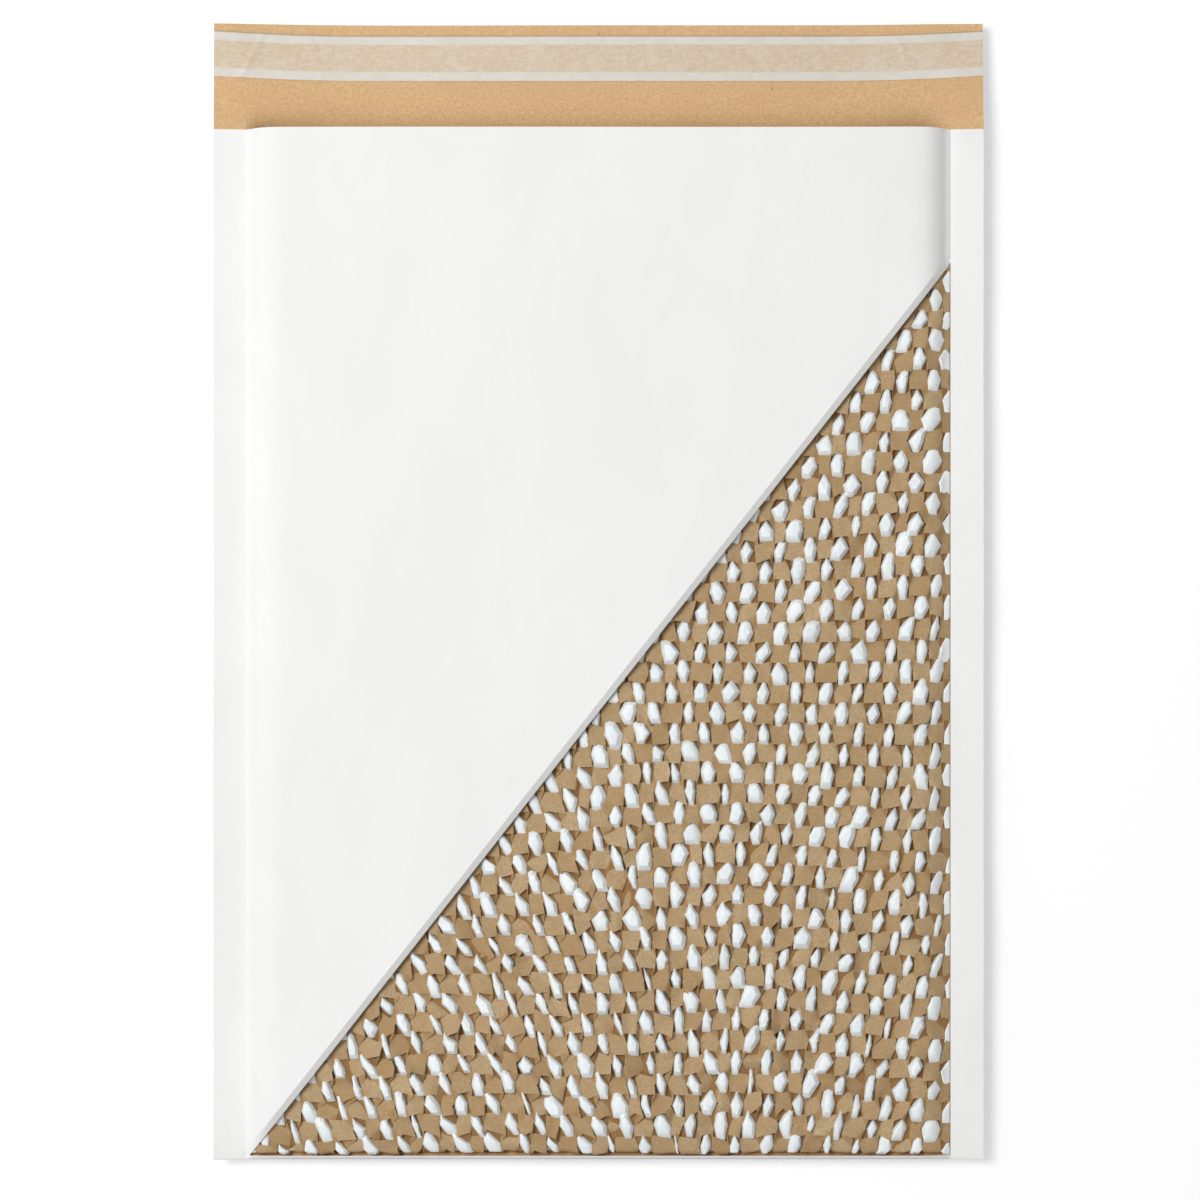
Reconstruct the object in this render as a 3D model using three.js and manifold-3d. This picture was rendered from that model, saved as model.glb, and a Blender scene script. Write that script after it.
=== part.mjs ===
// Padded paper envelope lying on its back, front panel up, flap open and pointing to +Y.
// Millimetres, +Z up, origin under the middle of the outline at the level of the resting face.
import * as THREE from "three";
import { mergeVertices } from "three/addons/utils/BufferGeometryUtils.js";
import Module from "manifold-3d";

const wasm = await Module();
wasm.setup();

// Outline
const WIDTH = 260; // over both side seams
const BODY_LENGTH = 348; // bottom fold to mouth
const FLAP_LENGTH = 36; // mouth to free edge of the flap

// Layers, from the outside in
const OUTER_PAPER = 0.25;
const PADDING = 3.2; // honeycomb between the panels and the liner
const LINER_PAPER = 0.2;
const POCKET_GAP = 5.6; // between the two faces of the liner
const CLEARANCE = 0.3; // between one soft layer and the next

// Side seams
const SEAM_WIDTH = 11;
const SEAM_GLUE = 0.2;
const SEAM_GLUE_MARGIN = 1; // bare paper on either side of the glue line
const SEAM_CREASE = 2; // crease to the edge of the padding
const SEAM_SLOPE = 16; // edge of the padding to full thickness
const PADDING_EDGE = 0.6; // padding crushed at its side edges

// Bottom fold
const FOLD_DEPTH = 3.2; // inside of the outer sheet, from the last straight line to the fold
const FOLD_FULLNESS = 0.3; // share of the full thickness left where the fold begins
const FOLD_SLOPE = 24; // beginning of the fold to full thickness
const FOLD_PADDING = 1.4; // padding crushed in the turn

// Flap
const FLAP_FLATTEN = 0.6; // share of the dished shape lost at the free edge
const ADHESIVE_WIDTH = 9.4;
const ADHESIVE_FILM = 0.15;
const STRIP_WIDTH = 15.4; // release liner
const STRIP_PAPER = 0.15;
const STRIP_INSET = 3.6; // free edge of the flap to the strip
const STRIP_BEND = 1.2; // the strip's ends lie this much nearer the free edge
const STRIP_BEND_LENGTH = 45; // length of each bent end

// Diagonal cutaway in the front panel
const CUT_RISE = 303; // from the bottom fold, along the right crease

// Fineness of the curved parts
const SLOPE_STEPS = 8;
const FOLD_STEPS = 8;
const FLAP_STEPS = 3;
const STRIP_END_STEPS = 4;

const PLATEAU_STACK = POCKET_GAP / 2 + LINER_PAPER + CLEARANCE + PADDING + CLEARANCE;
const MIDDLE = PLATEAU_STACK + OUTER_PAPER; // height of the plane between front and back
const HALF_WIDTH = WIDTH / 2;
const CREASE = HALF_WIDTH - SEAM_WIDTH;
const PADDING_HALF_WIDTH = CREASE - SEAM_CREASE;
const PLATEAU_HALF_WIDTH = PADDING_HALF_WIDTH - SEAM_SLOPE;
const BOTTOM = -(BODY_LENGTH + FLAP_LENGTH) / 2;
const FOLD_LINE = BOTTOM + OUTER_PAPER + FOLD_DEPTH;
const PLATEAU_START = FOLD_LINE + FOLD_SLOPE;
const MOUTH = BOTTOM + BODY_LENGTH;
const FREE_EDGE = MOUTH + FLAP_LENGTH;
const STRIP_CENTRE = FREE_EDGE - STRIP_INSET - STRIP_WIDTH / 2;

const lerp = THREE.MathUtils.lerp;
const clamp = THREE.MathUtils.clamp;

// Rounded rise from 0 to 1, steep at first and level at the end.
function pillow(t) {
  const u = 1 - clamp(t, 0, 1);
  return 1 - u * u;
}

// How full the envelope is at a place: 0 at the edges of the padding, 1 in the middle.
function fullness(x, y) {
  const across = pillow((PADDING_HALF_WIDTH - Math.abs(x)) / SEAM_SLOPE);
  const along = lerp(FOLD_FULLNESS, 1, pillow((y - FOLD_LINE) / FOLD_SLOPE));
  return across * along;
}

// Half thicknesses from the middle plane out to each face.
function linerInside(x, y) {
  return lerp(CLEARANCE, POCKET_GAP, fullness(x, y)) / 2;
}

function linerOutside(x, y) {
  return linerInside(x, y) + LINER_PAPER;
}

function paddingInside(x, y) {
  return linerOutside(x, y) + CLEARANCE;
}

function paddingOutside(x, y) {
  return paddingInside(x, y) + lerp(PADDING_EDGE, PADDING, fullness(x, y));
}

function outerInside(x, y) {
  const overPadding = paddingOutside(x, y) + CLEARANCE;
  const past = clamp((CREASE - Math.abs(x)) / SEAM_CREASE, 0, 1);
  return lerp(SEAM_GLUE / 2, overPadding, past);
}

function outerOutside(x, y) {
  return outerInside(x, y) + OUTER_PAPER;
}

// Underside of the flap: the back panel's dished section at the mouth, flattening out to the free edge.
function flapUnder(x, y) {
  const dish = MIDDLE - outerOutside(x, MOUTH);
  return dish * (1 - FLAP_FLATTEN * ((y - MOUTH) / FLAP_LENGTH));
}

function flapTop(x, y) {
  return flapUnder(x, y) + OUTER_PAPER;
}

// Evenly spread stations after the first, up to and including the last.
function spread(from, to, steps) {
  return Array.from({ length: steps }, (_, i) => lerp(from, to, (i + 1) / steps));
}

const mirrored = (half) => [...half.map((x) => -x).reverse(), ...half];
const slopeAcross = [PLATEAU_HALF_WIDTH, ...spread(PLATEAU_HALF_WIDTH, PADDING_HALF_WIDTH, SLOPE_STEPS)];
const paddingColumns = mirrored(slopeAcross);
const sheetColumns = mirrored([...slopeAcross, CREASE, HALF_WIDTH]);
const frontRows = [MOUTH, PLATEAU_START, ...spread(PLATEAU_START, FOLD_LINE, SLOPE_STEPS)];
const backRows = [...frontRows].reverse();
const turnAngles = spread(0, Math.PI, FOLD_STEPS).slice(0, -1);
const flapRows = spread(MOUTH, FREE_EDGE, FLAP_STEPS);

// A flat blank with one grid line per column and row, each vertex of it moved by place(column, row, side).
function formed(columns, rows, place) {
  const across = columns.length - 1;
  const along = rows.length - 1;
  const blank = new THREE.BoxGeometry(across, along, 1, across, along, 1);
  const position = blank.getAttribute("position");
  for (let i = 0; i < position.count; i += 1) {
    const column = columns[Math.round(position.getX(i) + across / 2)];
    const row = rows[Math.round(position.getY(i) + along / 2)];
    const side = position.getZ(i) > 0 ? 1 : 0;
    position.setXYZ(i, ...place(column, row, side).toArray());
  }
  blank.deleteAttribute("normal");
  blank.deleteAttribute("uv");
  return mergeVertices(blank);
}

// A sheet folded round the bottom. Its rows run down the front, round the turn and up the back.
// Each side of it has a half thickness and a depth past the line where the fold begins.
function foldedRows(extra) {
  const front = frontRows.map((y) => ({ part: "front", y }));
  const turn = turnAngles.map((angle) => ({ part: "turn", angle }));
  const back = backRows.map((y) => ({ part: "back", y }));
  const flap = extra.map((y) => ({ part: "flap", y }));
  return [...front, ...turn, ...back, ...flap].reverse();
}

function folded(columns, inside, outside, extra = []) {
  return formed(columns, foldedRows(extra), (x, row, side) => {
    const face = side === 1 ? outside : inside;
    if (row.part === "front") return new THREE.Vector3(x, row.y, MIDDLE + face.half(x, row.y));
    if (row.part === "back") return new THREE.Vector3(x, row.y, MIDDLE - face.half(x, row.y));
    if (row.part === "flap") return new THREE.Vector3(x, row.y, side === 1 ? flapUnder(x, row.y) : flapTop(x, row.y));
    const y = FOLD_LINE - face.depth * Math.sin(row.angle);
    const z = MIDDLE + face.half(x, FOLD_LINE) * Math.cos(row.angle);
    return new THREE.Vector3(x, y, z);
  });
}

// A strip lying on the flap, its ends bent a little towards the free edge.
function flapStrip(width, under, film) {
  const bendStart = HALF_WIDTH - STRIP_BEND_LENGTH;
  const bent = spread(bendStart, HALF_WIDTH, STRIP_END_STEPS);
  const half = [...new Set([...slopeAcross, CREASE, HALF_WIDTH, bendStart, ...bent])];
  const columns = mirrored(half.sort((a, b) => a - b));
  const rows = [STRIP_CENTRE - width / 2, STRIP_CENTRE + width / 2];
  return formed(columns, rows, (x, row, side) => {
    const reach = clamp((Math.abs(x) - bendStart) / STRIP_BEND_LENGTH, 0, 1);
    const y = row + STRIP_BEND * (reach * reach);
    return new THREE.Vector3(x, y, flapTop(x, y) + under + side * film);
  });
}

// A glue line lying between the two seam bands.
function seamGlue(side) {
  const from = CREASE + SEAM_GLUE_MARGIN;
  const to = HALF_WIDTH - SEAM_GLUE_MARGIN;
  const glue = new THREE.BoxGeometry(to - from, MOUTH - FOLD_LINE, SEAM_GLUE);
  glue.translate((side * (from + to)) / 2, (MOUTH + FOLD_LINE) / 2, MIDDLE);
  return glue;
}

function toSolid(geometry) {
  const bare = geometry.clone();
  bare.deleteAttribute("normal");
  bare.deleteAttribute("uv");
  const welded = mergeVertices(bare);
  return new wasm.Manifold(new wasm.Mesh({
    numProp: 3,
    vertProperties: new Float32Array(welded.getAttribute("position").array),
    triVerts: new Uint32Array(welded.getIndex().array),
  }));
}

function toGeometry(solid) {
  const mesh = solid.getMesh();
  const geometry = new THREE.BufferGeometry();
  geometry.setAttribute("position", new THREE.BufferAttribute(new Float32Array(mesh.vertProperties), 3));
  geometry.setIndex(new THREE.BufferAttribute(new Uint32Array(mesh.triVerts), 1));
  return geometry;
}

// The triangle cut out of the front panel, from the middle plane up.
function cutaway() {
  const corner = new THREE.Shape([
    new THREE.Vector2(CREASE, BOTTOM + CUT_RISE),
    new THREE.Vector2(-CREASE, BOTTOM),
    new THREE.Vector2(-CREASE, BOTTOM - OUTER_PAPER),
    new THREE.Vector2(CREASE, BOTTOM - OUTER_PAPER),
  ]);
  const prism = new THREE.ExtrudeGeometry(corner, { depth: 2 * MIDDLE, bevelEnabled: false });
  prism.translate(0, 0, MIDDLE);
  return prism;
}

const outerBlank = folded(
  sheetColumns,
  { half: outerInside, depth: FOLD_DEPTH },
  { half: outerOutside, depth: FOLD_DEPTH + OUTER_PAPER },
  flapRows,
);
const outerSheet = toGeometry(toSolid(outerBlank).subtract(toSolid(cutaway())));

const paddingDepth = FOLD_DEPTH - CLEARANCE;
const linerDepth = paddingDepth - FOLD_PADDING - CLEARANCE;
const padding = folded(
  paddingColumns,
  { half: paddingInside, depth: paddingDepth - FOLD_PADDING },
  { half: paddingOutside, depth: paddingDepth },
);
const liner = folded(
  paddingColumns,
  { half: linerInside, depth: linerDepth - LINER_PAPER },
  { half: linerOutside, depth: linerDepth },
);
const stripUnder = CLEARANCE + ADHESIVE_FILM + CLEARANCE;

const whitePaper = new THREE.MeshStandardMaterial({ color: 0xf1f1ef, roughness: 0.85, metalness: 0 });
const brownPaper = new THREE.MeshStandardMaterial({ color: 0xb59a6d, roughness: 0.9, metalness: 0 });
const linerPaper = new THREE.MeshStandardMaterial({ color: 0xf4f4f2, roughness: 0.9, metalness: 0 });
const clearGlue = new THREE.MeshStandardMaterial({ color: 0xd8cdb8, roughness: 0.4, metalness: 0 });
const stripPaper = new THREE.MeshStandardMaterial({ color: 0xdcd4c4, roughness: 0.5, metalness: 0 });

const envelope = new THREE.Group();
envelope.name = "padded_envelope";

function add(name, geometry, material) {
  const mesh = new THREE.Mesh(geometry, material);
  mesh.name = name;
  envelope.add(mesh);
}

add("outer_sheet", outerSheet, whitePaper);
add("honeycomb_padding", padding, brownPaper);
add("inner_liner", liner, linerPaper);
add("left_seam_glue", seamGlue(-1), clearGlue);
add("right_seam_glue", seamGlue(1), clearGlue);
add("flap_adhesive", flapStrip(ADHESIVE_WIDTH, CLEARANCE, ADHESIVE_FILM), clearGlue);
add("release_liner", flapStrip(STRIP_WIDTH, stripUnder, STRIP_PAPER), stripPaper);

export default envelope;
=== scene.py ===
"""Looks of a padded paper envelope that lies on its back with its flap open."""
import math

import bmesh
import bpy
import numpy as np
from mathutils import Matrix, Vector


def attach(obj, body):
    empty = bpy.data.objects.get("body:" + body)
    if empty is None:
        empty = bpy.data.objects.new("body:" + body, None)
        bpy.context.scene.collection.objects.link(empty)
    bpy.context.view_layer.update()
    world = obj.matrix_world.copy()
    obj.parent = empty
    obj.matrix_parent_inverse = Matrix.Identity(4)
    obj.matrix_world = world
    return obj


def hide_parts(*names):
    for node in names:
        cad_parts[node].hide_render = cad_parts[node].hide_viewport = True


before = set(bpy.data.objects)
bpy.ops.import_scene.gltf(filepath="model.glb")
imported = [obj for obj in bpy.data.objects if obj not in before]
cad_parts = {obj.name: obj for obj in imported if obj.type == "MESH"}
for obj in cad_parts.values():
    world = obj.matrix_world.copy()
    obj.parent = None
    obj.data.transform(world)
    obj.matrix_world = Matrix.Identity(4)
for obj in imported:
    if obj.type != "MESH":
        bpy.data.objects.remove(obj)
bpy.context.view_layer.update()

MM = 0.001

# Sizes of the solids, in millimetres
WIDTH = 260.0
BODY_LENGTH = 348.0
FLAP_LENGTH = 36.0
OUTER_PAPER = 0.25
PADDING = 3.2
LINER_PAPER = 0.2
POCKET_GAP = 5.6
CLEARANCE = 0.3
SEAM_WIDTH = 11.0
SEAM_GLUE = 0.2
SEAM_GLUE_MARGIN = 1.0
SEAM_CREASE = 2.0
SEAM_SLOPE = 16.0
PADDING_EDGE = 0.6
FOLD_DEPTH = 3.2
FOLD_FULLNESS = 0.3
FOLD_SLOPE = 24.0
FOLD_PADDING = 1.4
ADHESIVE_WIDTH = 9.4
STRIP_WIDTH = 15.4
STRIP_INSET = 3.6
STRIP_BEND = 1.2
STRIP_BEND_LENGTH = 45.0
CUT_RISE = 303.0

# How far the flap stands off the floor, and the length of its dip into the mouth
FLAP_STAND = 4.0
FLAP_DIP = 12.0

MIDDLE = POCKET_GAP / 2 + LINER_PAPER + PADDING + 2 * CLEARANCE + OUTER_PAPER
HALF_WIDTH = WIDTH / 2
CREASE = HALF_WIDTH - SEAM_WIDTH
PADDING_HALF_WIDTH = CREASE - SEAM_CREASE
PLATEAU_HALF_WIDTH = PADDING_HALF_WIDTH - SEAM_SLOPE
BOTTOM = -(BODY_LENGTH + FLAP_LENGTH) / 2
FOLD_LINE = BOTTOM + OUTER_PAPER + FOLD_DEPTH
PLATEAU_START = FOLD_LINE + FOLD_SLOPE
MOUTH = BOTTOM + BODY_LENGTH
FREE_EDGE = MOUTH + FLAP_LENGTH
STRIP_CENTRE = FREE_EDGE - STRIP_INSET - STRIP_WIDTH / 2

# Diagonal of the cutaway: a point on it, its direction, and the way to the open side
CUT_TOP = np.array([CREASE, BOTTOM + CUT_RISE])
CUT_ALONG = np.array([2 * CREASE, CUT_RISE]) / math.hypot(2 * CREASE, CUT_RISE)
CUT_OUT = np.array([CUT_ALONG[1], -CUT_ALONG[0]])

# How the cut edge of the front panel stands
LIP_WIDTH = 2.0
LIP_DROP = 1.7
EDGE_LIFT = 1.4
EDGE_LIFT_REACH = 22.0
FOLD_LIP = 0.65

# Slit padding: pitch of the cells and the relief of the opened slits
CELL_COLUMNS = 46
CELL_EDGE = CREASE - 0.3
CELL_HALF_PITCH = 2 * CELL_EDGE / CELL_COLUMNS
CELL_ROW = 6.95
CELL_REACH = 0.485
CELL_RELIEF = 0.62
CELL_PAPER = 0.14
LAND_WIDTH = 5.7
PADDING_TURN = 1.6
CELL_LEVEL = -0.95
LINER_VALLEY = -1.15


def smooth(t):
    t = np.clip(t, 0, 1)
    return t * t * (3 - 2 * t)


def pillow(t, power):
    return 1 - (1 - np.clip(t, 0, 1)) ** power


def blend(a, b, t):
    return a + (b - a) * t


def fullness(x, y):
    across = pillow((PADDING_HALF_WIDTH - np.abs(x)) / SEAM_SLOPE, 4)
    along = blend(FOLD_FULLNESS, 1, pillow((y - FOLD_LINE) / FOLD_SLOPE, 3))
    return across * along


def liner_half(x, y):
    return blend(CLEARANCE, POCKET_GAP, fullness(x, y)) / 2 + LINER_PAPER / 2


def padding_inside(x, y):
    return liner_half(x, y) + LINER_PAPER / 2 + CLEARANCE


def padding_thickness(x, y):
    return blend(PADDING_EDGE, PADDING, fullness(x, y))


def outer_half(x, y):
    over = padding_inside(x, y) + padding_thickness(x, y) + CLEARANCE
    past = np.clip((CREASE - np.abs(x)) / SEAM_CREASE, 0, 1)
    return blend(SEAM_GLUE / 2, over, past) + OUTER_PAPER / 2


def flap_middle(x, y):
    """The flap: it dips into the mouth along its fold and stands a little off the floor further out."""
    out = (y - MOUTH) / FLAP_LENGTH
    fold = MIDDLE - outer_half(x, MOUTH)
    level = FLAP_STAND * (1 - 0.3 * out) + 4.2 * smooth((np.abs(x) - 70) / (HALF_WIDTH - 55)) ** 1.2
    return blend(fold, level, pillow((y - MOUTH) / FLAP_DIP, 3))


def lift(x, y):
    """Waviness that every layer shares: the seams ripple and the flap isn't quite flat."""
    edge = smooth((np.abs(x) - CREASE + 5) / 9)
    turned_up = 1.4 * np.clip((np.abs(x) - CREASE) / SEAM_WIDTH, 0, 1) * smooth((MOUTH + 20 - y) / 30)
    side = np.sign(x)
    ripple = 0.32 * np.sin(y / 21 + 0.9 * side) + 0.2 * np.sin(y / 8.7 + 2.1 * side)
    out = np.clip((y - MOUTH) / FLAP_LENGTH, 0, 1)
    wave = 0.3 * np.sin(x / 39 + 0.6) + 0.12 * np.sin(x / 15.5 + 2)
    return edge * ripple + turned_up + out * out * wave


def panel_swell(x, y):
    """Slow unevenness of the front panel over the padding."""
    slow = np.sin(x / 31 + y / 67 + 0.4) + 0.7 * np.sin(x / 52 - y / 38 + 1.9)
    quick = np.sin(x / 13.5 - y / 22 + 0.8) * np.sin(y / 17.3 + x / 40 + 2.2)
    return fullness(x, y) * (0.17 * slow + 0.09 * quick)


def stations(*runs):
    """Points along a line, from (start, end, steps) runs that follow one another."""
    points = [runs[0][0]]
    for start, end, steps in runs:
        points += [blend(start, end, (i + 1) / steps) for i in range(steps)]
    return np.array(points)


def both_sides(half):
    return np.concatenate([-half[:0:-1], half])


def grid_faces(rows, columns):
    a = np.arange(rows * columns).reshape(rows, columns)
    return np.stack([a[:-1, :-1], a[1:, :-1], a[1:, 1:], a[:-1, 1:]], axis=-1).reshape(-1, 4)


def make_mesh(name, points, faces):
    mesh = bpy.data.meshes.new(name)
    mesh.from_pydata((np.asarray(points) * MM).tolist(), [], [list(map(int, f)) for f in faces])
    mesh.update()
    return mesh


def make_piece(name, mesh, materials, node):
    piece = bpy.data.objects.new(name, mesh)
    bpy.context.scene.collection.objects.link(piece)
    for material in materials:
        mesh.materials.append(material)
    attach(piece, "root")
    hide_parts(node)
    return piece


def thicken(piece, thickness, inner_material=0, sharp=40):
    """Gives a surface its paper's thickness and keeps the cut edges crisp."""
    solid = piece.modifiers.new("paper", "SOLIDIFY")
    solid.thickness = thickness * MM
    solid.offset = 0
    solid.material_offset = inner_material
    graph = bpy.context.evaluated_depsgraph_get()
    made = bpy.data.meshes.new_from_object(piece.evaluated_get(graph))
    piece.modifiers.clear()
    old = piece.data
    piece.data = made
    bpy.data.meshes.remove(old)
    made.shade_smooth()
    made.set_sharp_from_angle(angle=math.radians(sharp))


# Materials


def srgb(red, green, blue):
    def linear(value):
        v = value / 255
        return v / 12.92 if v <= 0.04045 else ((v + 0.055) / 1.055) ** 2.4

    return (linear(red), linear(green), linear(blue), 1.0)


def node(tree, kind, inputs=None, **settings):
    made = tree.nodes.new("ShaderNode" + kind)
    for key, value in settings.items():
        setattr(made, key, value)
    for key, value in (inputs or {}).items():
        if isinstance(value, bpy.types.NodeSocket):
            tree.links.new(value, made.inputs[key])
        else:
            made.inputs[key].default_value = value
    return made


def new_material(name, **shader):
    material = bpy.data.materials.new(name)
    material.use_nodes = True
    tree = material.node_tree
    tree.nodes.clear()
    out = node(tree, "OutputMaterial")
    surface = node(tree, "BsdfPrincipled", shader)
    tree.links.new(surface.outputs["BSDF"], out.inputs["Surface"])
    return material, tree, surface


def place(tree):
    return node(tree, "TexCoord").outputs["Object"]


def stretched(tree, vector, scale):
    return node(tree, "Mapping", {"Vector": vector, "Scale": scale}).outputs["Vector"]


def noise(tree, vector, scale, detail=3.0, roughness=0.55, distortion=0.0):
    made = node(tree, "TexNoise", {"Vector": vector, "Scale": scale, "Detail": detail,
                                   "Roughness": roughness, "Distortion": distortion})
    return made.outputs["Fac"]


def span(tree, value, low, high, to_low=0.0, to_high=1.0, soft=False):
    made = node(tree, "MapRange", {"Value": value, "From Min": low, "From Max": high,
                                   "To Min": to_low, "To Max": to_high})
    if soft:
        made.interpolation_type = "SMOOTHSTEP"
    return made.outputs["Result"]


def maths(tree, operation, first, second):
    return node(tree, "Math", {0: first, 1: second}, operation=operation).outputs[0]


def mix(tree, factor, first, second):
    made = node(tree, "Mix", data_type="RGBA", blend_type="MIX")
    for index, value in ((0, factor), (6, first), (7, second)):
        if isinstance(value, bpy.types.NodeSocket):
            tree.links.new(value, made.inputs[index])
        else:
            made.inputs[index].default_value = value
    return made.outputs[2]


def bump(tree, surface, heights):
    """Chains bumps, each (height, strength, distance in mm)."""
    normal = None
    for height, strength, distance in heights:
        inputs = {"Height": height, "Strength": strength, "Distance": distance * MM}
        if normal is not None:
            inputs["Normal"] = normal
        normal = node(tree, "Bump", inputs).outputs["Normal"]
    tree.links.new(normal, surface.inputs["Normal"])


def flecks(tree, vector, scale, size, keep):
    """Sparse small specks: 1 on a speck, 0 elsewhere."""
    cells = node(tree, "TexVoronoi", {"Vector": vector, "Scale": scale, "Randomness": 1.0})
    near = span(tree, cells.outputs["Distance"], size, size * 0.5)
    pick = node(tree, "SeparateColor", {"Color": cells.outputs["Color"]}).outputs["Red"]
    return maths(tree, "MULTIPLY", near, span(tree, pick, keep, keep - 0.01))


def white_paper(name, tone, shade):
    material, tree, surface = new_material(name, Roughness=0.82, **{"Specular IOR Level": 0.22})
    where = place(tree)
    cloud = noise(tree, stretched(tree, where, (1.0, 0.45, 1.0)), 38, 4.0, 0.6, 0.6)
    grain = noise(tree, where, 900, 4.0, 0.65)
    fibre = noise(tree, stretched(tree, where, (1.0, 0.25, 1.0)), 2600, 3.0, 0.6)
    colour = mix(tree, span(tree, cloud, 0.35, 0.68, soft=True), tone, shade)
    colour = mix(tree, span(tree, grain, 0.35, 0.7, 0.0, 0.5), colour, shade)
    specks = flecks(tree, where, 62, 0.022, 0.06)
    colour = mix(tree, maths(tree, "MULTIPLY", specks, 0.45), colour, srgb(150, 146, 140))
    tree.links.new(colour, surface.inputs["Base Color"])
    tree.links.new(span(tree, grain, 0.3, 0.7, 0.76, 0.9), surface.inputs["Roughness"])
    bump(tree, surface, [(cloud, 0.25, 0.35), (grain, 0.25, 0.06), (fibre, 0.25, 0.02)])
    return material


def brown_paper(name, light, dark, fleck, cloud_scale=55, clouded=0.3):
    material, tree, surface = new_material(name, Roughness=0.85, **{"Specular IOR Level": 0.2})
    where = place(tree)
    cloud = noise(tree, where, cloud_scale, 4.0, 0.6, 0.4)
    grain = noise(tree, where, 1100, 5.0, 0.7)
    fibre = noise(tree, stretched(tree, where, (0.22, 1.0, 1.0)), 1900, 4.0, 0.65, 0.3)
    colour = mix(tree, span(tree, grain, 0.36, 0.64), light, dark)
    colour = mix(tree, span(tree, cloud, 0.35, 0.7, 0.0, clouded, soft=True), colour, dark)
    colour = mix(tree, span(tree, fibre, 0.56, 0.72, 0.0, 0.55), colour, light)
    specks = flecks(tree, stretched(tree, where, (1.0, 0.5, 1.0)), 240, 0.1, 0.16)
    colour = mix(tree, maths(tree, "MULTIPLY", specks, 0.5), colour, fleck)
    tree.links.new(colour, surface.inputs["Base Color"])
    tree.links.new(span(tree, grain, 0.3, 0.7, 0.78, 0.93), surface.inputs["Roughness"])
    bump(tree, surface, [(cloud, 0.2, 0.3), (grain, 0.35, 0.05), (fibre, 0.3, 0.03)])
    return material


def tinted(material, mark, most, colour):
    """Moves a paper's colour towards another where its mesh is marked."""
    tree = material.node_tree
    surface = next(n for n in tree.nodes if n.type == "BSDF_PRINCIPLED")
    plain = surface.inputs["Base Color"].links[0].from_socket
    share = span(tree, node(tree, "Attribute", attribute_name=mark).outputs["Fac"], 0.0, 1.0, 0.0, most)
    tree.links.new(mix(tree, share, plain, colour), surface.inputs["Base Color"])
    return material


def strip_paper(name):
    """Thin release paper. The adhesive under it shows as a tan band with pale streaks, and a painted shadow
    line darkens its upper edge.
    """
    material, tree, surface = new_material(name, **{"Specular IOR Level": 0.4})
    where = place(tree)
    across = node(tree, "Attribute", attribute_name="across").outputs["Fac"]
    wander = span(tree, noise(tree, stretched(tree, where, (1.0, 0.1, 1.0)), 300, 3.0), 0.0, 1.0, -0.35, 0.35)
    off_centre = node(tree, "Math", {0: maths(tree, "ADD", across, wander)}, operation="ABSOLUTE").outputs[0]
    band = span(tree, off_centre, ADHESIVE_WIDTH / 2 + 0.35, ADHESIVE_WIDTH / 2 - 0.35, soft=True)
    streak = noise(tree, stretched(tree, where, (0.6, 1.0, 1.0)), 860, 5.0, 0.68, 0.4)
    blotch = noise(tree, where, 150, 3.0, 0.6, 0.8)
    paper = mix(tree, span(tree, blotch, 0.35, 0.65), srgb(221, 216, 206), srgb(214, 208, 196))
    glue = mix(tree, span(tree, streak, 0.42, 0.62, soft=True), srgb(206, 187, 160), srgb(216, 199, 176))
    glue = mix(tree, span(tree, blotch, 0.5, 0.72, 0.0, 0.6), glue, srgb(219, 208, 192))
    # Painted shadow: a dark line along the strip's upper edge.
    edge = span(tree, across, STRIP_WIDTH / 2 - 0.5, STRIP_WIDTH / 2 - 0.2, 0.0, 0.75)
    colour = mix(tree, edge, mix(tree, band, paper, glue), srgb(146, 118, 84))
    tree.links.new(colour, surface.inputs["Base Color"])
    tree.links.new(span(tree, streak, 0.3, 0.7, 0.42, 0.6), surface.inputs["Roughness"])
    bump(tree, surface, [(blotch, 0.3, 0.12), (streak, 0.25, 0.05)])
    return material


def glue_film(name, tone, shade, roughness):
    material, tree, surface = new_material(name, **{"Specular IOR Level": 0.5})
    where = place(tree)
    blotch = noise(tree, where, 260, 4.0, 0.6, 0.8)
    tree.links.new(mix(tree, span(tree, blotch, 0.35, 0.65), tone, shade), surface.inputs["Base Color"])
    tree.links.new(span(tree, blotch, 0.3, 0.7, roughness, roughness + 0.2), surface.inputs["Roughness"])
    bump(tree, surface, [(blotch, 0.4, 0.08)])
    return material


OUTSIDE = white_paper("outer_paper_white", srgb(245, 245, 244), srgb(241, 241, 240))
INSIDE = brown_paper("outer_paper_brown", srgb(228, 190, 144), srgb(205, 167, 121), srgb(140, 102, 66))
PADDING_BROWN = brown_paper("padding_brown", srgb(200, 175, 139), srgb(177, 150, 113), srgb(136, 102, 62),
                            80, 0.6)
# The cells' brown: its tone differs at random from land to land, and the middles of the legs between lands
# carry painted shade in darker golden brown.
CELLS = tinted(PADDING_BROWN, "tone_and_painted_shade", 0.6, srgb(152, 112, 58))
# The liner's rim round each opening that shows carries painted shade in dark red-brown, where it dips under
# the cells.
LINER = tinted(white_paper("liner_white", srgb(247, 252, 253), srgb(242, 248, 250)),
               "deep", 1.0, srgb(152, 114, 70))
STRIP = strip_paper("release_paper")
ADHESIVE = glue_film("adhesive_film", srgb(205, 180, 148), srgb(216, 194, 164), 0.25)
SEAM = glue_film("seam_glue", srgb(222, 212, 192), srgb(208, 196, 172), 0.4)


# Outer sheet


def sheet_columns():
    half = stations((0, PLATEAU_HALF_WIDTH, 26), (PLATEAU_HALF_WIDTH, PADDING_HALF_WIDTH, 15),
                    (PADDING_HALF_WIDTH, CREASE, 4), (CREASE, CREASE + 1.5, 3), (CREASE + 1.5, HALF_WIDTH, 6))
    return both_sides(half)


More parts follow.
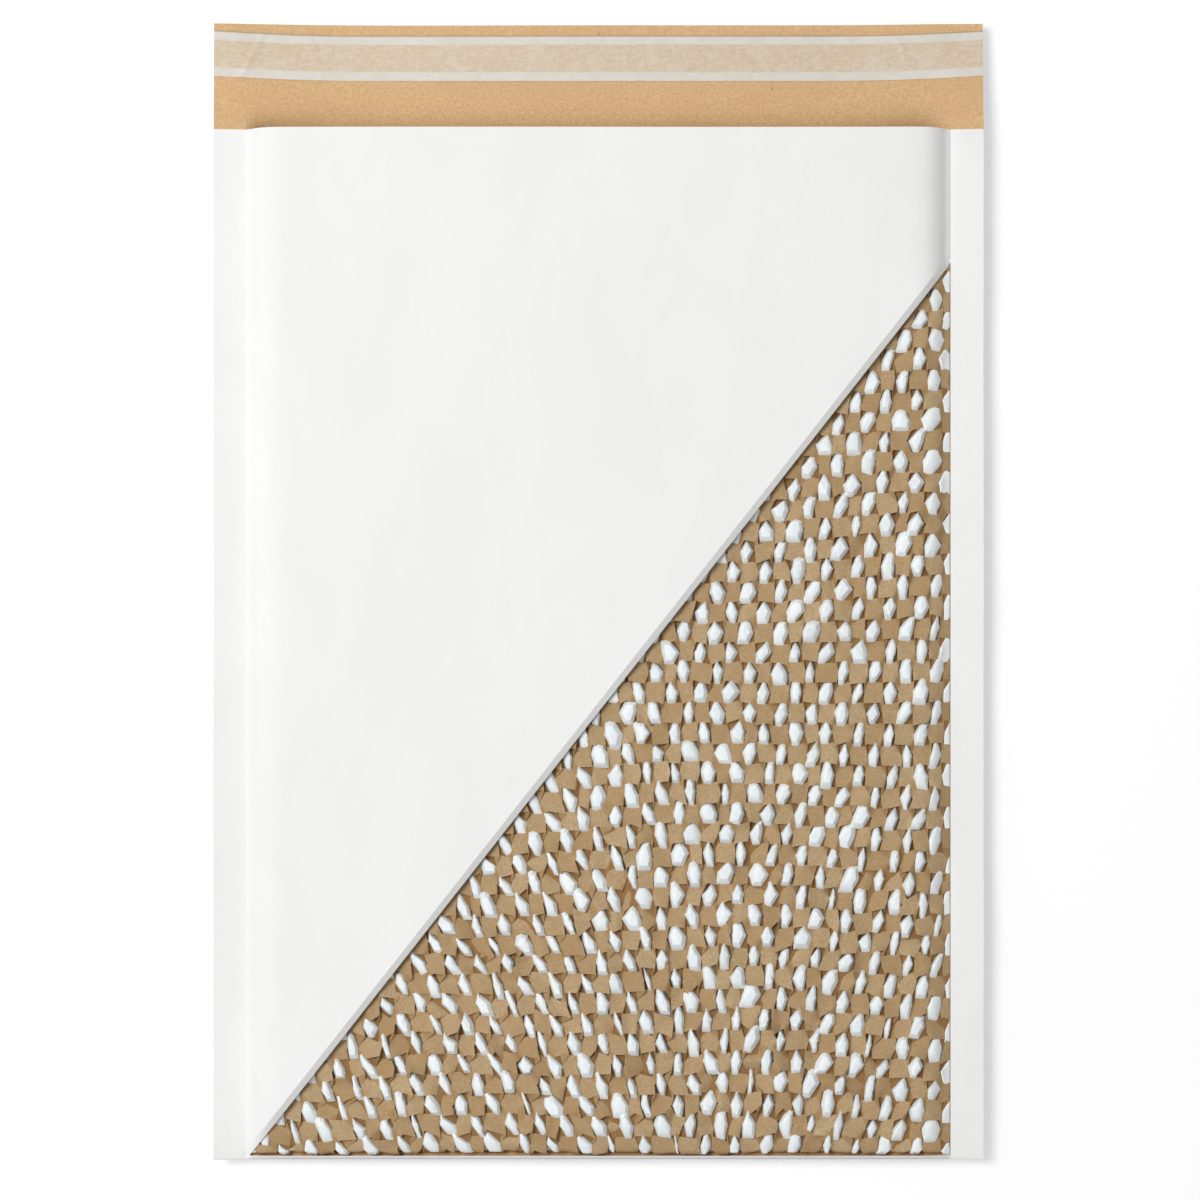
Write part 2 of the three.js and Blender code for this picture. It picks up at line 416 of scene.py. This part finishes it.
def outer_sheet():
    x = sheet_columns()
    front = stations((MOUTH, MOUTH - 6, 5), (MOUTH - 6, PLATEAU_START, 84), (PLATEAU_START, FOLD_LINE, 20))
    back = stations((FOLD_LINE, PLATEAU_START, 12), (PLATEAU_START, MOUTH - 6, 56), (MOUTH - 6, MOUTH, 4))
    flap = stations((MOUTH, FREE_EDGE, 26))[1:]
    turn = stations((0, math.pi, 14))[1:-1]
    rows, zones = [], []
    for y in front:
        rows.append((x, np.full_like(x, y), MIDDLE + outer_half(x, y) + panel_swell(x, y)))
        zones.append("front")
    depth = FOLD_DEPTH + OUTER_PAPER / 2
    for angle in turn:
        half = outer_half(x, FOLD_LINE)
        y = np.full_like(x, FOLD_LINE - depth * math.sin(angle))
        rows.append((x, y, MIDDLE + half * math.cos(angle)))
        zones.append("front" if angle < FOLD_LIP else "back")
    for y in back:
        rows.append((x, np.full_like(x, y), MIDDLE - outer_half(x, y)))
        zones.append("back")
    for y in flap:
        rows.append((x, np.full_like(x, y), flap_middle(x, y)))
        zones.append("back")
    points = np.array(rows).transpose(0, 2, 1)
    points[..., 2] += lift(points[..., 0], points[..., 1])
    faces = grid_faces(len(rows), len(x))
    is_front = np.repeat([z == "front" for z in zones[:-1]], len(x) - 1)
    mesh = make_mesh("envelope_outer_sheet", points.reshape(-1, 3), faces)
    cut_front(mesh, is_front)
    piece = make_piece("envelope_outer_sheet", mesh, [OUTSIDE, INSIDE], "outer_sheet")
    thicken(piece, OUTER_PAPER, inner_material=1, sharp=28)
    return piece


def cut_front(mesh, is_front):
    """Cuts the triangle out of the front panel and turns its diagonal edge down."""
    shape = bmesh.new()
    shape.from_mesh(mesh)
    zone = shape.faces.layers.int.new("zone")
    shape.faces.ensure_lookup_table()
    for face, front in zip(shape.faces, is_front):
        face[zone] = int(front)
    outward = Vector((CUT_OUT[0], CUT_OUT[1], 0))
    top = Vector((CUT_TOP[0], CUT_TOP[1], 0)) * MM
    for offset in (0.0, 1.0, LIP_WIDTH, LIP_WIDTH + 0.5, 4.0):
        chosen = [f for f in shape.faces if f[zone]]
        chosen += list({e for f in chosen for e in f.edges}) + list({v for f in chosen for v in f.verts})
        at = top - outward * offset * MM
        bmesh.ops.bisect_plane(shape, geom=chosen, dist=1e-7, plane_co=at, plane_no=outward)
    gone = []
    for face in shape.faces:
        middle = face.calc_center_median()
        if face[zone] and outward.dot(middle - top) > 0 and middle.x < CREASE * MM:
            gone.append(face)
    bmesh.ops.delete(shape, geom=gone, context="FACES")
    for vert in {v for f in shape.faces if f[zone] for v in f.verts}:
        x, y = vert.co.x / MM, vert.co.y / MM
        inward = -float(np.dot(CUT_OUT, np.array([x, y]) - CUT_TOP))
        if x > CREASE - 1e-3 or inward < -1e-3 or y < BOTTOM + 1:
            continue
        full = float(fullness(x, y))
        raised = EDGE_LIFT * math.exp(-inward / EDGE_LIFT_REACH) * full
        lip = LIP_DROP * max(0.0, 1 - inward / LIP_WIDTH) * min(1.0, 0.3 + full)
        vert.co.z += (raised - lip) * MM
    shape.to_mesh(mesh)
    shape.free()
    mesh.update()


# Padding and liner


FRONT_RUN = MOUTH - FOLD_LINE
TURN_RUN = math.pi * 2.0
PATH_RUN = 2 * FRONT_RUN + TURN_RUN


def on_path(x, v, rise):
    """A place on the folded padding: x across, v along it from the front's mouth, rise out of its middle."""
    x, v, rise = np.broadcast_arrays(np.asarray(x, float), np.asarray(v, float), np.asarray(rise, float))
    back = v > FRONT_RUN + TURN_RUN
    turning = (v > FRONT_RUN) & ~back
    y = np.where(back, FOLD_LINE + v - FRONT_RUN - TURN_RUN, np.where(turning, FOLD_LINE, MOUTH - v))
    thickness = padding_thickness(x, y)
    half = padding_inside(x, y) + thickness / 2 + rise * thickness / PADDING
    half = blend(SEAM_GLUE / 4, half, np.clip((CREASE - np.abs(x)) / SEAM_CREASE, 0, 1))
    angle = np.where(back, math.pi, np.where(turning, (v - FRONT_RUN) / TURN_RUN * math.pi, 0.0))
    depth = PADDING_TURN + rise * FOLD_PADDING / PADDING
    y = y - np.where(turning, depth * np.sin(angle), 0.0)
    z = MIDDLE + half * np.cos(angle) + lift(x, y)
    return np.stack([x, y, z], axis=-1)


def drift(x, v):
    """Slow distortion of the cells' lattice: (across, along)."""
    hold = smooth((CELL_EDGE - np.abs(x)) / 14)
    across = 1.2 * np.sin(v / 37 + x / 71) + 0.7 * np.sin(v / 16.5 - x / 29 + 1.2)
    along = 1.5 * np.sin(x / 43 + v / 83 + 0.5) + 0.9 * np.sin(x / 21.5 - v / 47 + 2.0)
    return hold * across, along * smooth(v / 12)


def lean_at(x, v):
    """Slant of the cells: the lower left leans one way and the right side a little the other."""
    return 0.6 * smooth((x - 30) / 50) - 1.15 * smooth((v - 150) / 90) * smooth((50 - x) / 70)


def row_place(row):
    return row * CELL_ROW + CELL_ROW * CELL_REACH


class Land:
    """One uncut place between two slits, where neighbouring strips of the slit paper hold together."""

    def __init__(self, column, row, draw):
        x = -CELL_EDGE + column * CELL_HALF_PITCH
        v = row_place(row)
        across, along = drift(x, v)
        at_edge = column in (0, CELL_COLUMNS)
        openness = smooth((x + 70) / 160) * smooth((400 - v) / 330)
        unrest = 1 + 0.8 * smooth((v - 190) / 110) if in_view(x, v) else 0.5
        self.x = float(x + (0 if at_edge else across + draw.normal(0, 0.32 * unrest)))
        self.v = float(v + along + draw.normal(0, 0.24 * unrest))
        self.wide = float(np.clip(draw.normal(LAND_WIDTH - 0.8 * openness, 1.0), 3.2, 7.8))
        self.upper = self.wide * float(draw.uniform(0.75, 1.0))
        self.lower = self.wide * float(draw.uniform(0.45, 0.95))
        self.lean = float(draw.normal(lean_at(x, v), 0.5 * unrest))
        self.tone = float(draw.uniform(0, 0.65))
        self.roll = float(draw.normal(0.05, 0.36 * unrest))
        self.rise = float(draw.normal(0, 0.18 * unrest))
        self.high = CELL_RELIEF * float(draw.uniform(0.4, 1.5))
        self.deep = CELL_RELIEF * float(draw.uniform(0.5, 1.1))
        self.bow = float(draw.normal(0.12, 0.12))
        self.skew_up, self.skew_down = draw.normal(0, 0.34 * unrest, 2)
        self.crease = float(draw.normal(0, 0.42 * unrest))
        self.crease_turn = float(draw.uniform(-1, 1))
        self.reach_up = CELL_REACH * CELL_ROW * float(draw.uniform(0.93, 1.07))
        self.reach_down = CELL_REACH * CELL_ROW * float(draw.uniform(0.93, 1.07))

    def point(self, side, part):
        """side from -1 to 1 across, part -1 at the upper edge, 0 at the middle, 1 at the lower edge."""
        if part < 0:
            width = blend(self.wide, self.upper, -part)
            v, rise = self.v + part * (self.reach_up + side * self.skew_up), part * self.deep
        else:
            width = blend(self.wide, self.lower, part)
            v, rise = self.v + part * (self.reach_down + side * self.skew_down), part * self.high
        x = self.x + side * width / 2 - part * self.lean
        bowed = self.bow * (1 - side * side) * (1 - part * part)
        creased = self.crease * abs(side * self.crease_turn + part * (1 - abs(self.crease_turn)))
        return np.array([x, v, rise + self.rise + side * self.roll + bowed + creased])


def open_side(x, v):
    """How far a place on the front of the padding lies past the diagonal."""
    return float(np.dot(CUT_OUT, np.array([x, MOUTH - v]) - CUT_TOP))


def in_view(x, v):
    """Whether a cell shows through the cutaway, or nearly so."""
    return v < FRONT_RUN + 2 and open_side(x, v) > -6


def padding_rows():
    return int((PATH_RUN - 2 * CELL_ROW * CELL_REACH) / CELL_ROW) + 1


def padding_lands():
    draw = np.random.default_rng(20)
    places = [(k, j) for j in range(padding_rows()) for k in range(CELL_COLUMNS + 1) if (k + j) % 2 == 0]
    return {(k, j): Land(k, j, draw) for k, j in places}


def merged(mesh):
    """Joins the points that neighbouring patches share."""
    shape = bmesh.new()
    shape.from_mesh(mesh)
    bmesh.ops.remove_doubles(shape, verts=shape.verts, dist=2e-6)
    bmesh.ops.dissolve_degenerate(shape, edges=shape.edges, dist=1e-6)
    shape.to_mesh(mesh)
    shape.free()


def on_padding(points):
    x = np.clip(points[:, 0], -CELL_EDGE, CELL_EDGE)
    return on_path(x, np.clip(points[:, 1], 0, PATH_RUN), points[:, 2] + CELL_LEVEL)


def honeycomb(lands):
    rows = padding_rows()
    points, faces, tone_and_painted_shade = [], [], []
    for j in range(-1, rows):
        shown = any(in_view(-CELL_EDGE + k * CELL_HALF_PITCH, row_place(j)) for k in range(CELL_COLUMNS + 1))
        add_strip(lands, j, rows, 3 if shown else 1, points, faces, tone_and_painted_shade)
    mesh = make_mesh("envelope_honeycomb", on_padding(np.array(points)), faces)
    # Random tone of each land and painted shade in the legs, kept on the points for the cells' material.
    mark = mesh.attributes.new("tone_and_painted_shade", "FLOAT", "POINT")
    mark.data.foreach_set("value", np.array(tone_and_painted_shade, dtype=np.float32))
    merged(mesh)
    piece = make_piece("envelope_honeycomb", mesh, [CELLS], "honeycomb_padding")
    thicken(piece, CELL_PAPER, sharp=50)


def add_strip(lands, j, rows, across, points, faces, tone_and_painted_shade):
    """One strip of the slit paper, between the lands of row j above it and row j + 1 below it."""
    sections = []
    for k in range(CELL_COLUMNS + 1):
        above = (k + j) % 2 == 0
        row = j if above else j + 1
        if row < 0 or row >= rows:
            sections.append(None)
            continue
        land = lands[(k, row)]
        shown = in_view(land.x, land.v)
        parts = np.linspace(0, 1, across + 1) if above else np.linspace(-1, 0, across + 1)
        sides = np.linspace(-1, 1, 4 if shown else 2)
        sections.append((shown, land.tone, np.array([[land.point(s, p) for p in parts] for s in sides])))
    for k in range(CELL_COLUMNS + 1):
        if sections[k] is None:
            continue
        shown, tone, land = sections[k]
        add_patch(land, np.full(len(land), tone), points, faces, tone_and_painted_shade)
        if k < CELL_COLUMNS and sections[k + 1] is not None:
            steps = 4 if shown or sections[k + 1][0] else 1
            tones_and_painted_shade = np.linspace(tone, sections[k + 1][1], steps + 1)
            # Painted shade: the middle of each leg is pushed to the full darker golden tint.
            tones_and_painted_shade = np.maximum(tones_and_painted_shade, np.sin(np.linspace(0, math.pi, steps + 1)))
            add_leg(land[-1], sections[k + 1][2][0], tones_and_painted_shade, points, faces, tone_and_painted_shade)


def add_leg(start, end, tones_and_painted_shade, points, faces, tone_and_painted_shade):
    """A leg between two lands: it leaves each one level and twists across."""
    t = np.linspace(0, 1, len(tones_and_painted_shade))[:, None, None]
    reach = np.zeros_like(start)
    reach[:, 0] = 2.2
    h00, h10 = 2 * t**3 - 3 * t**2 + 1, t**3 - 2 * t**2 + t
    h01, h11 = -2 * t**3 + 3 * t**2, t**3 - t**2
    curve = h00 * start + h10 * reach + h01 * end + h11 * reach
    add_patch(curve, tones_and_painted_shade, points, faces, tone_and_painted_shade)


def add_patch(grid, tone_and_shade_amounts, points, faces, tone_and_painted_shade):
    columns, rows = grid.shape[:2]
    first = len(points)
    for column, amount in zip(grid, tone_and_shade_amounts):
        points.extend(column)
        tone_and_painted_shade.extend([float(amount)] * rows)
    for a in range(columns - 1):
        for b in range(rows - 1):
            corner = first + a * rows + b
            faces.append((corner, corner + 1, corner + rows + 1, corner + rows))


def corner(lands, column, row):
    """Place of a land's middle, or of where it would be beyond the padding's edge."""
    land = lands.get((column, row))
    if land is not None:
        return np.array([land.x, land.v])
    return np.array([-CELL_EDGE + column * CELL_HALF_PITCH, row_place(row)])


def land_width(lands, column, row):
    land = lands.get((column, row))
    return land.wide if land is not None else LAND_WIDTH


def ring_of(corners, counts):
    """Points round a closed outline, with a count of steps for each side."""
    points = []
    for start, end, steps in zip(corners, corners[1:] + corners[:1], counts):
        points += [blend(start, end, i / steps) for i in range(steps)]
    return np.array(points)


def bulge(lands, column, row, draw):
    """Rings of one cell of the liner: from the lands round the opening up to the swollen middle."""
    left, right = corner(lands, column - 1, row), corner(lands, column + 1, row)
    top, bottom = corner(lands, column, row - 1), corner(lands, column, row + 1)
    rim = ring_of([left, top, right, bottom], [4, 4, 4, 4])
    rim = np.column_stack([rim, np.full(len(rim), LINER_VALLEY)])
    ends = [lands.get((column, row - 1)), lands.get((column, row + 1))]
    shown = all(ends) and in_view(*((left + right) / 2))
    middle = np.append((left + right + top + bottom) / 4, LINER_VALLEY)
    if not shown:
        return [rim], middle
    west = left[0] + land_width(lands, column - 1, row) / 2
    east = right[0] - land_width(lands, column + 1, row) / 2
    north, south = ends[0].v + ends[0].reach_down, ends[1].v - ends[1].reach_up
    centre = np.array([(west + east) / 2, (north + south) / 2])
    half = max(0.6, (east - west) / 2) * draw.uniform(0.82, 1.04)
    tall = ((south - north) / 2 + 0.25) * draw.uniform(0.98, 1.14)
    shift = draw.normal(0, 0.15)
    slant = 1.15 * lean_at(*centre)
    peak_at, foot_at = np.array([slant, -slant]) + np.clip(draw.normal(0, 0.25, 2), -0.5, 0.5) * half
    upper, lower = half * draw.uniform(0.1, 0.7), half * draw.uniform(0.35, 0.85)
    hexagon = [np.array(p) for p in ((-half, shift), (peak_at - upper, -tall * 0.9), (peak_at, -tall * 1.06),
                                     (peak_at + upper, -tall * 0.9), (half, shift), (foot_at + lower, tall),
                                     (foot_at, tall * 1.03), (foot_at - lower, tall))]
    outline = ring_of(hexagon, [3, 1, 1, 3, 3, 1, 1, 3]) + draw.normal(0, 0.07, (16, 2))
    peak = draw.uniform(1.7, 3.0) * (0.35 + 0.65 * smooth((open_side(*centre) - 1) / 7))
    tilt = draw.normal((0.05, 0.03), (0.09, 0.07))
    ridge = np.array([draw.uniform(-0.6, 0.05) * half, draw.uniform(-0.4, 0.05) * tall])
    rings = [rim]
    for scale, share in ((1.04, 0.06), (1.0, 0.22), (0.84, 0.54), (0.62, 0.86), (0.3, 0.97)):
        flat = outline * scale + ridge * (1.04 - scale)
        rise = LINER_VALLEY + (peak - LINER_VALLEY) * share + flat @ tilt * share + draw.normal(0, 0.05, 16)
        rings.append(np.column_stack([flat + centre, rise]))
    return rings, np.append(centre + ridge, peak)


def liner(lands):
    """White sheet behind the cells that swells through their openings where the front is cut away. Round each
    opening that shows, its rim and first ring carry painted shade in dark red-brown.
    """
    draw = np.random.default_rng(41)
    points, faces, deep = [], [], []
    for row in range(-1, padding_rows() + 1):
        for column in range(CELL_COLUMNS + 1):
            if (column + row) % 2 == 0:
                continue
            rings, middle = bulge(lands, column, row, draw)
            first, size = len(points), len(rings[0])
            for ring in rings:
                points.extend(ring)
            points.append(middle)
            # Painted shade: the rim and first ring of each opening that shows are marked for the dark
            # red-brown.
            deep += [1.0 if len(rings) > 1 and n < 2 * size else 0.0 for n in range(len(points) - first)]
            for level in range(len(rings)):
                for i in range(size):
                    a, b = first + level * size + i, first + level * size + (i + 1) % size
                    inner = (a + size, b + size) if level < len(rings) - 1 else (len(points) - 1,)
                    faces.append((b, a, *inner))
    mesh = make_mesh("envelope_liner", on_padding(np.array(points)), faces)
    mark = mesh.attributes.new("deep", "FLOAT", "POINT")
    mark.data.foreach_set("value", np.array(deep, dtype=np.float32))
    merged(mesh)
    mesh.shade_smooth()
    mesh.set_sharp_from_angle(angle=math.radians(30))
    piece = make_piece("envelope_liner", mesh, [LINER], "inner_liner")


# Seam glue, adhesive and release strip

# Wrinkles of the strip: place across the flap, slant and height
STRIP_WRINKLES = ((-117, 0.5, 0.3), (-96, -0.3, 0.16), (-21, 0.55, 0.28),
                  (9, -0.6, 0.3), (58, 0.4, 0.16), (104, -0.5, 0.22))

def seam_glue(side, name, solid):
    x = side * np.linspace(CREASE + SEAM_GLUE_MARGIN, HALF_WIDTH - SEAM_GLUE_MARGIN, 7)
    y = np.linspace(FOLD_LINE, MOUTH, 140)
    grid_x, grid_y = np.meshgrid(x, y)
    ragged = 0.35 * np.sin(grid_y / 3.1) * np.sin(grid_y / 7.7 + side)
    grid_x = grid_x + side * (ragged * (np.abs(grid_x) - CREASE - SEAM_WIDTH / 2) / 5)
    placed = np.stack([grid_x, grid_y, MIDDLE + lift(grid_x, grid_y)], axis=-1)
    mesh = make_mesh(name, placed.reshape(-1, 3), grid_faces(len(y), len(x)))
    piece = make_piece(name, mesh, [SEAM], solid)
    thicken(piece, SEAM_GLUE * 0.9)


def flap_strip(name, width, above, thickness, material, solid, wrinkled):
    half = stations((0, HALF_WIDTH - STRIP_BEND_LENGTH, 50), (HALF_WIDTH - STRIP_BEND_LENGTH, HALF_WIDTH, 45))
    x = both_sides(half)
    across = np.linspace(-width / 2, width / 2, 25)
    grid_x, grid_a = np.meshgrid(x, across)
    reach = np.clip((np.abs(grid_x) - HALF_WIDTH + STRIP_BEND_LENGTH) / STRIP_BEND_LENGTH, 0, 1)
    y = STRIP_CENTRE + grid_a + STRIP_BEND * reach**2
    z = flap_middle(grid_x, y) + lift(grid_x, y) + above
    if wrinkled:
        z = z + strip_relief(grid_x, grid_a, width)
    placed = np.stack([grid_x, y, z], axis=-1)
    mesh = make_mesh(name, placed.reshape(-1, 3), grid_faces(len(across), len(x)))
    mark = mesh.attributes.new("across", "FLOAT", "POINT")
    mark.data.foreach_set("value", grid_a.astype(np.float32).ravel())
    piece = make_piece(name, mesh, [material], solid)
    thicken(piece, thickness)
    return piece


def strip_relief(x, across, width):
    """Edges of the strip that stand off a little, and a few slanting wrinkles."""
    share = np.abs(across) / (width / 2)
    loose = smooth((share - 0.62) / 0.38) * (0.12 + 0.08 * np.sin(x / 9.5 + 1)) * (across > 0)
    ridges = np.zeros_like(x)
    for at, slant, height in STRIP_WRINKLES:
        ridges += height * np.exp(-(((x - at - slant * across) / 0.7) ** 2))
    return loose + ridges


outer = outer_sheet()
lands = padding_lands()
honeycomb(lands)
liner(lands)
seam_glue(-1, "envelope_left_seam_glue", "left_seam_glue")
seam_glue(1, "envelope_right_seam_glue", "right_seam_glue")
flap_strip("envelope_flap_adhesive", ADHESIVE_WIDTH, 0.2, 0.1, ADHESIVE, "flap_adhesive",
           False)
strip = flap_strip("envelope_release_strip", STRIP_WIDTH, 0.33, 0.08, STRIP, "release_liner",
                   True)


# Stage, in metres

FLOOR_HALF = 6.0
FLOOR_LEVEL = -0.0002
FLOOR_TONE = (0.64, 0.64, 0.64, 1)
FLOOR_GLOW = 0.44
KEY_PLACE = (-0.66, 0.27, 1.43)
KEY_SIZE = 0.6
KEY_POWER = 16.7
SKY_STRENGTH = 0.39
SENSOR = 36.0
LENS = 97.6
CAMERA_PLACE = (0.0005, -0.0030, 1.107)


def floor():
    mesh = bpy.data.meshes.new("floor")
    size = FLOOR_HALF
    corners = [(-size, -size, 0), (size, -size, 0), (size, size, 0), (-size, size, 0)]
    mesh.from_pydata(corners, [], [(0, 1, 2, 3)])
    plane = bpy.data.objects.new("floor", mesh)
    bpy.context.scene.collection.objects.link(plane)
    plane.location.z = FLOOR_LEVEL
    material = bpy.data.materials.new("floor_white")
    material.use_nodes = True
    tree = material.node_tree
    tree.nodes.clear()
    out = node(tree, "OutputMaterial")
    matte = node(tree, "BsdfDiffuse", {"Color": FLOOR_TONE})
    path = node(tree, "LightPath")
    seen = maths(tree, "MAXIMUM", path.outputs["Is Camera Ray"], path.outputs["Is Glossy Ray"])
    seen = maths(tree, "MAXIMUM", seen, path.outputs["Is Transmission Ray"])
    level = maths(tree, "MULTIPLY", seen, FLOOR_GLOW)
    glow = node(tree, "Emission", {"Color": (1, 1, 1, 1), "Strength": level})
    both = node(tree, "AddShader", {0: matte.outputs[0], 1: glow.outputs[0]})
    tree.links.new(both.outputs[0], out.inputs["Surface"])
    mesh.materials.append(material)


def area_lamp(name, place_at, size, power):
    data = bpy.data.lights.new(name, "AREA")
    data.shape = "SQUARE"
    data.size = size
    data.energy = power
    lamp = bpy.data.objects.new(name, data)
    bpy.context.scene.collection.objects.link(lamp)
    lamp.location = place_at
    lamp.rotation_euler = (-Vector(place_at)).to_track_quat("-Z", "Y").to_euler()


def sky(strength):
    world = bpy.data.worlds.new("studio")
    bpy.context.scene.world = world
    world.use_nodes = True
    tree = world.node_tree
    tree.nodes.clear()
    out = node(tree, "OutputWorld")
    path = node(tree, "LightPath")
    seen = maths(tree, "MAXIMUM", path.outputs["Is Camera Ray"], path.outputs["Is Glossy Ray"])
    seen = maths(tree, "MAXIMUM", seen, path.outputs["Is Transmission Ray"])
    level = span(tree, seen, 0.0, 1.0, strength, 1.0)
    light = node(tree, "Background", {"Color": (1, 1, 1, 1), "Strength": level})
    tree.links.new(light.outputs[0], out.inputs["Surface"])


def camera():
    data = bpy.data.cameras.new("camera")
    data.sensor_width = SENSOR
    data.lens = LENS
    eye = bpy.data.objects.new("camera", data)
    bpy.context.scene.collection.objects.link(eye)
    eye.location = CAMERA_PLACE
    bpy.context.scene.camera = eye


floor()
area_lamp("key", KEY_PLACE, KEY_SIZE, KEY_POWER)
sky(SKY_STRENGTH)
camera()
bpy.context.scene.view_settings.view_transform = "Standard"
